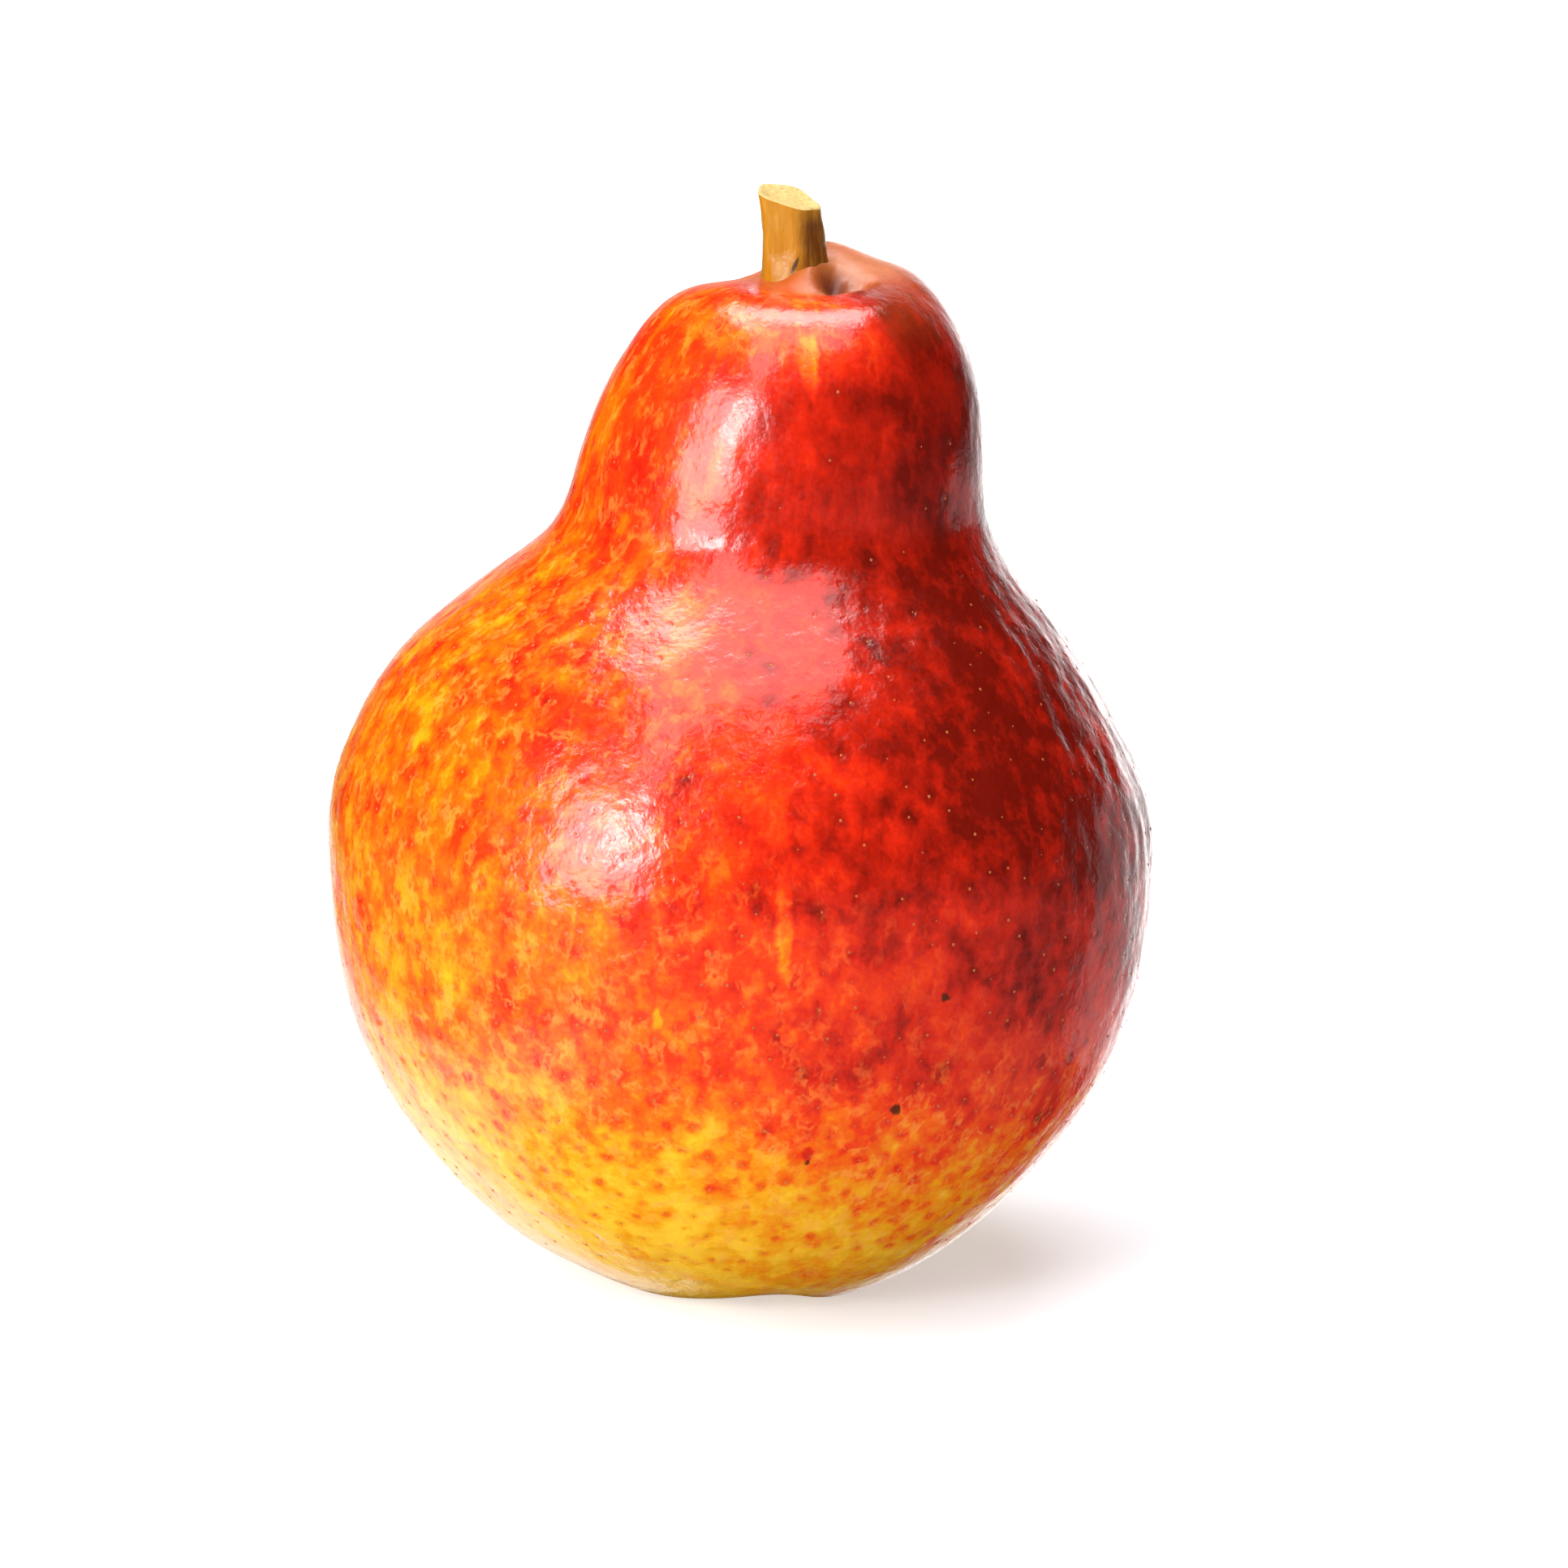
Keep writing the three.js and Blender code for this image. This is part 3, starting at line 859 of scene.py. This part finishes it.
def spline_point(stations, position):
    """A point of a uniform cubic B-spline over the stations, its ends mirrored so that it meets them."""
    points = np.array(stations, float)
    ends = (2 * points[0] - points[1], 2 * points[-1] - points[-2])
    points = np.vstack((ends[0], points, ends[1]))
    index = min(int(position), len(points) - 4)
    t = position - index
    weights = ((1 - t) ** 3, 3 * t**3 - 6 * t**2 + 4, -3 * t**3 + 3 * t**2 + 3 * t + 1, t**3)
    return sum(weight * point for weight, point in zip(weights, points[index : index + 4])) / 6


def lathe_faces(rings, segments, first):
    """Quads between rings of vertices, which start at the vertex first and run upwards."""
    faces = []
    for ring in range(rings - 1):
        low = first + ring * segments
        for k in range(segments):
            after = (k + 1) % segments
            faces.append((low + k, low + after, low + segments + after, low + segments + k))
    return faces


def stem_mesh(settings):
    """The stub of the stem as vertices, faces and the number of faces that are bark."""
    rings = settings.rings
    segments = settings.segments
    foot = Vector(STEM_FOOT)
    vertices = []
    for ring in range(rings):
        share, radius = spline_point(STEM_STATIONS, ring / (rings - 1) * (len(STEM_STATIONS) - 1))
        ridged = min(max(share * 2 + 0.4, 0), 1)
        for k in range(segments):
            angle = 2 * math.pi * k / segments
            ridge = 1 + STEM_RIDGE_RISE * 0.5 * math.cos(STEM_RIDGES * angle) * ridged
            turned = (math.cos(angle), math.sin(angle), share)
            spot = Vector([pace * value for pace, value in zip(STEM_LUMP_PACE, turned)])
            lump = 1 + settings.lumps * noise.noise(spot * STEM_LUMP_PITCH)
            vertices.append(stem_point(foot, radius * ridge * lump, angle, share))
    faces = lathe_faces(rings, segments, 0)
    bark = len(faces)
    rim = len(vertices) - segments
    middle = Vector(stem_point(foot, 0.0, 0.0, 1.0))
    for inset, rise in STEM_CUT_RINGS:
        for edge in vertices[rim : rim + segments]:
            point = middle.lerp(Vector(edge), inset)
            uneven = STEM_CUT_ROUGHNESS * noise.noise(point * STEM_CUT_PITCH)
            vertices.append((point.x, point.y, point.z + rise + uneven))
    faces += lathe_faces(len(STEM_CUT_RINGS) + 1, segments, rim)
    faces.append(tuple(range(len(vertices) - segments, len(vertices))))
    faces.append(tuple(reversed(range(segments))))
    return vertices, faces, bark


def stem_point(foot, reach, angle, share):
    """A point of the stem's side at an angle and a share of its height."""
    along = max(share, 0)
    across = reach * math.cos(angle)
    deep = reach * math.sin(angle) * STEM_FLATNESS
    slope = STEM_CUT_SLOPE[0] * across + STEM_CUT_SLOPE[1] * deep
    cut = STEM_HEIGHT + slope + STEM_CUT_CURVE * max(deep, 0) ** 2
    return (
        foot.x + across + STEM_LEAN[0] * along**1.5,
        foot.y + deep + STEM_LEAN[1] * along**1.5,
        foot.z - REST_LEVEL + (share * STEM_ROOT if share < 0 else share * cut),
    )


def calyx_tree():
    """The dried flower: a short cup, its sepals spread round it and the stamens that hang from it."""
    inputs = (
        ("Sepals", "Int", SEPAL_COUNT),
        ("Stamens", "Int", 14),
        ("Curl", "Float", 0.5),
        ("Material", "Material", None),
    )
    w, given, result = new_shape("Calyx", inputs)

    # One sepal, along +X
    sheet = w.node("GeometryNodeMeshGrid", {"Vertices X": 24, "Vertices Y": 11}).outputs
    u, v, _ = w.split(sheet["UV Map"])
    taper = w.less(1.0, w.times(w.math("POWER", u, 1.6), 0.96))
    side = w.times(w.less(v, 0.5), SEPAL_WIDTH, taper)
    arch = w.times(side, side, given["Curl"], 0.35)
    droop = w.times(w.math("POWER", u, 1.4), -SEPAL_DROP)
    crumple = w.wave(w.join(w.times(u, 4.0), w.times(v, 2.5), 0.0), 0.8, 0.18)
    out = w.add(w.times(u, SEPAL_LENGTH * 0.96), CALYX_RADIUS * 0.5)
    blade = w.join(out, side, w.add(droop, arch, crumple, CALYX_MOUTH + 0.45))
    bent = w.moved(sheet["Mesh"], Position=blade)
    ends = {"Mesh": bent, "Offset Scale": SEPAL_THICKNESS, "Individual": False}
    thick = w.node("GeometryNodeExtrudeMesh", ends).outputs["Mesh"]
    back = w.node("GeometryNodeFlipFaces", {"Mesh": bent}).outputs[0]
    sepal = w.welded(w.joined(thick, back))
    sepals = around(w, given["Sepals"], sepal, 0.0, LOBE_ANGLE + math.pi / SEPAL_COUNT)

    # One stamen, hanging from the mouth
    ends = {"Start": (0, 0, 0.6), "End": (0.25, 0, -STAMEN_LENGTH * 0.75)}
    line = w.node("GeometryNodeCurvePrimitiveLine", ends).outputs[0]
    fine = w.node("GeometryNodeResampleCurve", {"Curve": line, "Count": 7}).outputs[0]
    wavy = w.moved(fine, Offset=w.scaled(w.stir(w.position(), 0.7), 0.5))
    ends = {"Resolution": 6, "Radius": STAMEN_RADIUS}
    ring = w.node("GeometryNodeCurvePrimitiveCircle", ends, mode="RADIUS").outputs[0]
    ends = {"Curve": wavy, "Profile Curve": ring, "Fill Caps": True}
    thread = w.node("GeometryNodeCurveToMesh", ends).outputs[0]
    stamens = around(w, given["Stamens"], thread, CALYX_RADIUS * 0.62, 0.0, CALYX_MOUTH)

    ends = {"Vertices": 32, "Radius": CALYX_RADIUS * 0.95, "Depth": CALYX_ROOT - CALYX_MOUTH}
    cup = w.node("GeometryNodeMeshCylinder", ends).outputs["Mesh"]
    cup = w.transformed(cup, Translation=(0.0, 0.0, (CALYX_ROOT + CALYX_MOUTH) / 2))
    real = w.step("GeometryNodeRealizeInstances", w.joined(sepals, stamens, cup))
    shift = tuple(value * MM for value in (*CALYX_CENTRE, -REST_LEVEL))
    settled = w.transformed(real, Translation=shift, Scale=(MM, MM, MM))
    w.feed(result[0], w.dressed(settled, given["Material"]))
    return w.tree


def around(w, count, piece, radius, first_angle, height=0.0):
    """Copies of a piece set out round the Z axis, each turned to face away from it."""
    points = w.node("GeometryNodeMeshLine", {"Count": count, "Offset": (0, 0, 0)}).outputs[0]
    index = w.node("GeometryNodeInputIndex").outputs[0]
    angle = w.add(w.times(w.math("DIVIDE", index, count), 2 * math.pi), first_angle)
    place = w.join(w.times(w.math("COSINE", angle), radius), w.times(w.math("SINE", angle), radius), height)
    placed = w.moved(points, Position=place)
    ends = {"Points": placed, "Instance": piece, "Rotation": w.join(0.0, 0.0, angle)}
    return w.node("GeometryNodeInstanceOnPoints", ends).outputs[0]


def whole(name, description, default, least=0):
    return IntProperty(name=name, description=description, default=default, min=least)


def amount(name, description, default, **settings):
    return FloatProperty(name=name, description=description, default=default, **settings)


def portion(name, description, default):
    return amount(name, description, default, subtype="FACTOR")


def tint(name, description, *values):
    settings = {"subtype": "COLOR", "size": 4, "min": 0, "max": 1, "default": tone(*values)}
    return FloatVectorProperty(name=name, description=description, **settings)


class PearSkinSettings(bpy.types.PropertyGroup):
    """Shape and finish of the skin"""

    segments: whole("Segments", "Faces round the pear", 384, 32)
    rings: whole("Rings", "Rings of faces from end to end", 256, 32)
    groove: amount("Groove rise", "Height of the base's grooves, in mm", 0.9)
    lumps: amount("Lump rise", "Height of the wide lumps, in mm", 0.22)
    ripples: amount("Ripple rise", "Height of the fine ripples, in mm", 0.08)
    wrinkles: amount("Wrinkle rise", "Height of the shoulder's wrinkles, in mm", 0.19)
    peel: amount("Peel", "Depth of the skin's fine grain, in mm", 0.18)
    roughness: portion("Roughness", "Roughness of the skin", 0.19)
    sheen: portion("Sheen", "Gloss of the skin under the wax", 0.5)
    wax: portion("Wax", "Weight of the waxy coat", 0.16)
    wax_roughness: portion("Wax roughness", "Of the coat", 0.26)
    pale: tint("Pale yellow", "Skin with the least pigment", 242, 192, 44)
    golden: tint("Golden", "Skin at the blossom end", 232, 160, 14)
    orange: tint("Orange", "Skin on the side away from the sun", 230, 101, 3)
    vermilion: tint("Vermilion", "Where the blush starts", 226, 56, 6)
    red: tint("Red", "The blush", 203, 32, 7)
    crimson: tint("Crimson", "The deep blush", 164, 23, 5)
    maroon: tint("Maroon", "The deepest blush", 112, 15, 4)
    net: tint("Net", "The pale net between the dabs", 240, 150, 62)
    tan: tint("Tan", "Skin in the hollow round the stem", 190, 104, 38)
    russet: tint("Russet", "Skin at the edge of the hollow", 176, 70, 22)
    # The colour of the painted shade in the pit beside the stem
    pit: tint("Pit", "The pit beside the stem", 96, 34, 10)
    scab: tint("Scab", "Small dark scabs", 62, 34, 14)


class PearLenticelSettings(bpy.types.PropertyGroup):
    """Size, spread and colour of the lenticels"""

    spacing: amount("Spacing", "Least distance between two, in mm", 1.9, min=0.5)
    radius: amount("Radius", "Radius of a corky dot, in mm", 0.115, min=0.02)
    flatness: portion("Flatness", "Height over radius", 0.22)
    seed: whole("Seed", "Chooses the scatter", 4)
    tan: tint("Tan", "Cork in red skin", 176, 84, 40)
    brown: tint("Brown", "Cork in yellow skin", 190, 112, 26)


class PearStemSettings(bpy.types.PropertyGroup):
    """Fineness and colours of the stem"""

    rings: whole("Rings", "Rings along the stem", 72, 8)
    segments: whole("Segments", "Faces round the stem", 96, 12)
    lumps: amount("Lumps", "Unevenness as a share of the radius", 0.05)
    ochre: tint("Ochre", "Bark in the light", 182, 120, 8)
    amber: tint("Amber", "The bark's paler fibres", 216, 162, 22)
    # The colour of the painted shade on the bark's right side
    brown: tint("Brown", "Bark on the shaded side", 104, 50, 8)
    nick: tint("Nick", "The healed nick", 62, 44, 22)
    cream: tint("Cream", "The cut wood", 212, 182, 112)
    cut_shade: tint("Cut shade", "Darker wood of the cut", 190, 154, 84)


class PearCalyxSettings(bpy.types.PropertyGroup):
    """Parts and colours of the calyx"""

    stamens: whole("Stamens", "Withered stamens", 14, 3)
    curl: amount("Curl", "How far the sepals curl", 0.5)
    dark: tint("Dark", "Dried leaf", 66, 44, 28)
    light: tint("Light", "Its veins", 138, 104, 66)


class PearStageSettings(bpy.types.PropertyGroup):
    """Light, floor and camera"""

    floor_size: amount("Floor", "Width of the floor", 8.0, unit="LENGTH")
    window: amount("Window", "Brightness of the window light", 9.0)
    walls: amount("Walls", "Brightness of the pale walls behind", 1.0)
    fill: amount("Fill", "Brightness of the room", 0.26)
    table: amount("Table", "Brightness of the table itself", 0.3)
    near_glow: amount("Near glow", "Added to it beside the pear", 0.19)
    floor: tint("Floor", "Pale floor", 198, 201, 206)


class PEAR_OT_skin(bpy.types.Operator):
    """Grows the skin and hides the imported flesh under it"""

    bl_idname = "pear.skin"
    bl_label = "Skin"

    def execute(self, context):
        look = context.scene.pear_skin
        lenticels = context.scene.pear_lenticels
        curve = outline_curve()
        values = {
            "Outline": curve,
            "Segments": look.segments,
            "Rings": look.rings,
            "Groove rise": look.groove,
            "Lump rise": look.lumps,
            "Ripple rise": look.ripples,
            "Wrinkle rise": look.wrinkles,
            "Lenticel spacing": lenticels.spacing,
            "Seed": lenticels.seed,
            "Material": skin_material(look),
        }
        mesh = grown(surface_tree(), bpy.data.meshes.new("skin"), values)
        bpy.data.objects.remove(curve)
        if not mesh.polygons:
            raise RuntimeError("the skin has no faces")
        add_piece("skin", mesh, "flesh")
        return {"FINISHED"}


class PEAR_OT_lenticels(bpy.types.Operator):
    """Sets the corky dots on the skin"""

    bl_idname = "pear.lenticels"
    bl_label = "Lenticels"

    def execute(self, context):
        look = context.scene.pear_lenticels
        values = {
            "Spacing": look.spacing,
            "Radius": look.radius,
            "Flatness": look.flatness,
            "Seed": look.seed,
            "Material": cork_material(look),
        }
        skin = bpy.data.objects["skin"].data.copy()
        skin.materials.clear()
        add_piece("lenticels", grown(lenticel_tree(), skin, values))
        return {"FINISHED"}


class PEAR_OT_stem(bpy.types.Operator):
    """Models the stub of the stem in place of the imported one"""

    bl_idname = "pear.stem"
    bl_label = "Stem"

    def execute(self, context):
        look = context.scene.pear_stem
        vertices, faces, bark = stem_mesh(look)
        mesh = bpy.data.meshes.new("stem")
        mesh.from_pydata([[value * MM for value in vertex] for vertex in vertices], [], faces)
        mesh.materials.append(bark_material(look))
        mesh.materials.append(cut_material(look))
        for polygon in mesh.polygons:
            polygon.use_smooth = True
            polygon.material_index = int(bark <= polygon.index < len(faces) - 1)
        add_piece("stub", mesh, "stem")
        return {"FINISHED"}


class PEAR_OT_calyx(bpy.types.Operator):
    """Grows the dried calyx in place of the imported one"""

    bl_idname = "pear.calyx"
    bl_label = "Calyx"

    def execute(self, context):
        look = context.scene.pear_calyx
        values = {"Stamens": look.stamens, "Curl": look.curl, "Material": dry_leaf_material(look)}
        mesh = grown(calyx_tree(), bpy.data.meshes.new("calyx"), values)
        add_piece("dried_flower", mesh, "calyx")
        return {"FINISHED"}


# The soft lights: name, azimuth to the right of the camera and elevation in degrees, distance, width and
# height in metres, and brightness as a share of the window setting
SOFTBOXES = (
    ("window", -41, 20, 1.6, 0.84, 1.08, 0.85),
    ("window pane", -34, 26, 1.5, 0.28, 0.36, 1.7),
    ("window head", -29, 52, 1.6, 0.34, 0.5, 0.42),
    ("overhead", 0, 85, 1.5, 1.32, 1.2, 0.31),
    ("skylight", 180, 72, 1.5, 1.2, 0.7, 0.75),
    ("lamp", 12, 56, 1.6, 0.18, 0.2, 0.6),
)
# The white card beside the pear, which only its gloss shows
CARD = ("card", 128, -14, 0.117, 0.12, 0.09, 0.055)

# Where the floor's glow is weakest, and how far from there it starts to grow and is full, in metres
NEAR_GLOW_CENTRE = (0.026, 0.012, 0)
NEAR_GLOW_SPAN = (0.03, 0.07)
# Where a painted soft shadow, right of the pear, darkens that glow, its reach in metres, and the share of
# the glow that it takes
SHADOW_CENTRE = (0.05, 0.022, 0)
SHADOW_REACH = 0.025
SHADOW_SHARE = 0.95
# How far the floor lies under the pear, in metres, so that the two don't share a plane
FLOOR_GAP = 2e-5
WHITE = (1, 1, 1, 1)


def direction(azimuth, elevation):
    """The way from the pear to a place: azimuth in degrees to the right of the camera, and elevation."""
    turn = math.radians(azimuth)
    rise = math.radians(elevation)
    return Vector((math.sin(turn) * math.cos(rise), -math.cos(turn) * math.cos(rise), math.sin(rise)))


def softbox(name, azimuth, elevation, distance, width, height, radiance):
    """A rectangular light that faces the pear. Radiance 1 looks as bright as a white wall in full light."""
    data = bpy.data.lights.new(name, "AREA")
    data.shape = "RECTANGLE"
    data.size = width
    data.size_y = height
    data.energy = radiance * math.pi * width * height
    light = new_object(name, data)
    way = direction(azimuth, elevation)
    light.location = way * distance + Vector(VIEW_CENTRE) * MM
    light.rotation_euler = way.to_track_quat("Z", "Y").to_euler()
    return light


def make_floor(settings):
    """A pale table that glows a little, and for the camera turns plain white some way from the pear, bar a
    painted shadow.
    """
    half = settings.floor_size / 2
    mesh = bpy.data.meshes.new("floor")
    corners = ((-half, -half), (half, -half), (half, half), (-half, half))
    mesh.from_pydata([(x, y, -FLOOR_GAP) for x, y in corners], [], [(0, 1, 2, 3)])
    material, w, shader = new_material("Pale floor")
    place = w.node("ShaderNodeTexCoord").outputs["Object"]
    seen = w.node("ShaderNodeLightPath").outputs["Is Camera Ray"]
    away = w.vector("DISTANCE", place, NEAR_GLOW_CENTRE)
    around_it = w.fade(away, *NEAR_GLOW_SPAN, settings.near_glow, 1.0)
    # Painted shadow: a soft dark patch in the camera's glow to the right of the pear
    painted_shadow = w.bump(w.vector("DISTANCE", place, SHADOW_CENTRE), SHADOW_REACH)
    glow = w.times(around_it, w.less(1.0, w.times(painted_shadow, SHADOW_SHARE)), seen)
    finish = {
        "Base Color": settings.floor,
        "Roughness": 0.9,
        "Specular IOR Level": 0.0,
        "Emission Color": WHITE,
        "Emission Strength": w.add(glow, settings.table),
    }
    w.put(shader, finish)
    mesh.materials.append(material)
    floor = new_object("floor", mesh)
    floor.visible_glossy = False


def make_room(settings):
    """The room's dim light, and what the pear's gloss shows: pale walls behind, and the pale table."""
    world = bpy.data.worlds.new("Room")
    world.use_nodes = True
    w = Wires(world.node_tree)
    way = w.vector("NORMALIZE", w.node("ShaderNodeTexCoord").outputs["Generated"])
    aside, back, up = w.split(way)
    depth = w.math("MAXIMUM", w.less(back, 0.7), 0.0)
    right_wall = w.times(depth, depth, w.fade(aside, 0.0, 0.1), 40.0)
    low = w.fade(up, -0.15, -0.5, 0.0, 0.16)
    right_floor = w.times(low, w.fade(aside, 0.5, 0.95), w.fade(back, -0.4, 0.2))
    left_wall = w.times(w.fade(back, 0.9, 1.0), w.fade(aside, 0.1, 0.0), 0.5)
    slant = w.math("DIVIDE", up, w.math("MINIMUM", aside, -0.05))
    beyond = w.math("MAXIMUM", w.fade(aside, -0.35, -0.75), w.fade(back, -0.2, 0.1))
    on_table = w.times(w.fade(slant, 0.38, 0.9), w.fade(up, -0.86, -0.68), w.fade(aside, -0.06, -0.12))
    left_floor = w.times(on_table, beyond, 1.2)
    walls = w.times(w.add(right_wall, right_floor, left_wall, left_floor), settings.walls)
    glossy = w.node("ShaderNodeLightPath").outputs["Is Glossy Ray"]
    strength = w.add(w.times(glossy, walls), w.times(w.less(1.0, glossy), settings.fill))
    w.put(world.node_tree.nodes["Background"], {"Color": WHITE, "Strength": strength})
    bpy.context.scene.world = world


def make_camera():
    """The photograph's view."""
    data = bpy.data.cameras.new("camera")
    data.sensor_width = SENSOR
    data.lens = SENSOR * CAMERA_DISTANCE / VIEW_WIDTH
    camera = new_object("camera", data)
    way = direction(0, CAMERA_ELEVATION)
    camera.location = (way * CAMERA_DISTANCE + Vector(VIEW_CENTRE)) * MM
    camera.rotation_euler = way.to_track_quat("Z", "Y").to_euler()
    bpy.context.scene.camera = camera


class PEAR_OT_stage(bpy.types.Operator):
    """Sets up the floor, the soft studio light and the camera"""

    bl_idname = "pear.stage"
    bl_label = "Stage"

    def execute(self, context):
        settings = context.scene.pear_stage
        context.scene.view_settings.view_transform = "Standard"
        make_room(settings)
        make_floor(settings)
        for name, *place, brightness in SOFTBOXES:
            softbox(name, *place, brightness * settings.window)
        name, *place, brightness = CARD
        softbox(name, *place, brightness * settings.window).visible_diffuse = False
        make_camera()
        return {"FINISHED"}


class PEAR_PT_panel(bpy.types.Panel):
    """Lists the steps that build the pear"""

    bl_label = "Pear"
    bl_idname = "PEAR_PT_panel"
    bl_space_type = "VIEW_3D"
    bl_region_type = "UI"
    bl_category = "Pear"

    def draw(self, context):
        for step in STEPS:
            self.layout.operator(step.bl_idname)


SETTINGS = {
    "pear_skin": PearSkinSettings,
    "pear_lenticels": PearLenticelSettings,
    "pear_stem": PearStemSettings,
    "pear_calyx": PearCalyxSettings,
    "pear_stage": PearStageSettings,
}
STEPS = (PEAR_OT_stage, PEAR_OT_skin, PEAR_OT_lenticels, PEAR_OT_stem, PEAR_OT_calyx)


def register():
    for entry in (*SETTINGS.values(), *STEPS, PEAR_PT_panel):
        bpy.utils.register_class(entry)
    for name, group in SETTINGS.items():
        setattr(bpy.types.Scene, name, PointerProperty(type=group))


def unregister():
    for name in SETTINGS:
        delattr(bpy.types.Scene, name)
    for entry in reversed((*SETTINGS.values(), *STEPS, PEAR_PT_panel)):
        bpy.utils.unregister_class(entry)


def main():
    register()
    bpy.ops.pear.stage()
    bpy.ops.pear.skin()
    bpy.ops.pear.lenticels()
    bpy.ops.pear.stem()
    bpy.ops.pear.calyx()


if __name__ == "__main__":
    main()
